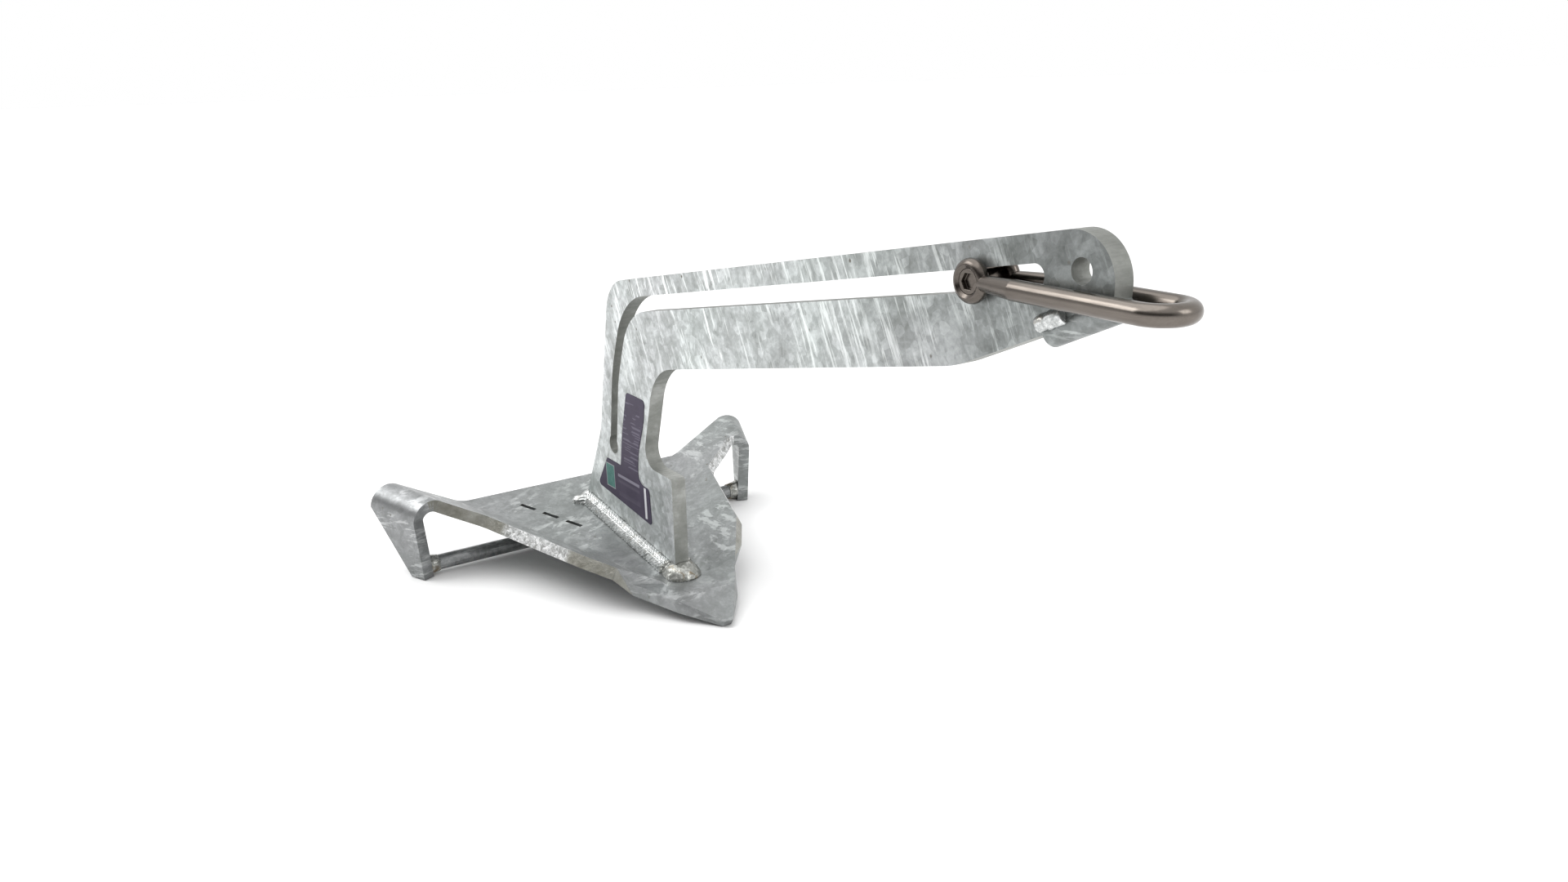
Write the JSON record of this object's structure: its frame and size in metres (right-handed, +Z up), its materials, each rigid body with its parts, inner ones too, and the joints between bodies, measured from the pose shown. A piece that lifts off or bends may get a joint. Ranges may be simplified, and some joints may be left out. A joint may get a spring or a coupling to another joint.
{
  "type": "plow anchor",
  "caption": "Galvanised plate plow anchor for small boats: a folded fluke with down-turned fins, a slotted gooseneck shank and a long D shackle that slides in the slot.",
  "frame": {"origin": "Middle of the whole anchor's bounding box in plan, on the ground that its tip and two fins stand on", "axes": "+X points forward, along the shank from the fluke's trailing edge to the shackle; +Y points left; +Z points up"},
  "size_m": [0.6734, 0.3692, 0.3273],
  "materials": {
    "galvanised": "hot-dip galvanised zinc, mottled and slightly dull",
    "weld_metal": "galvanised weld bead, bright and rippled",
    "stainless": "polished stainless steel",
    "label_film": "semi-gloss printed film"
  },
  "bodies": {
    "anchor": {"fluke": "galvanised", "shank": "galvanised", "crossbar": "galvanised", "nose_bar": "galvanised", "label": "label_film", "shank_weld_left": "weld_metal", "shank_weld_right": "weld_metal", "shank_weld_toe": "weld_metal", "shank_weld_heel": "weld_metal", "crossbar_weld_left": "weld_metal", "crossbar_weld_right": "weld_metal", "nose_weld_left": "weld_metal", "nose_weld_right": "weld_metal"},
    "pin": {"shackle_pin": "stainless"},
    "bow": {"shackle_bow": "stainless"}
  },
  "joints": [
    {"name": "shackle_slide", "type": "slide", "parent": "anchor", "child": "pin", "axis": [0.9855, 0, 0.1697], "range_m": [0, 0.0396]},
    {"name": "shackle_swing", "type": "hinge", "parent": "pin", "child": "bow", "pos_m": [0.21301, 0, 0.29685], "axis": [0, -1, 0], "range_deg": [0, 177.5]}
  ]
}
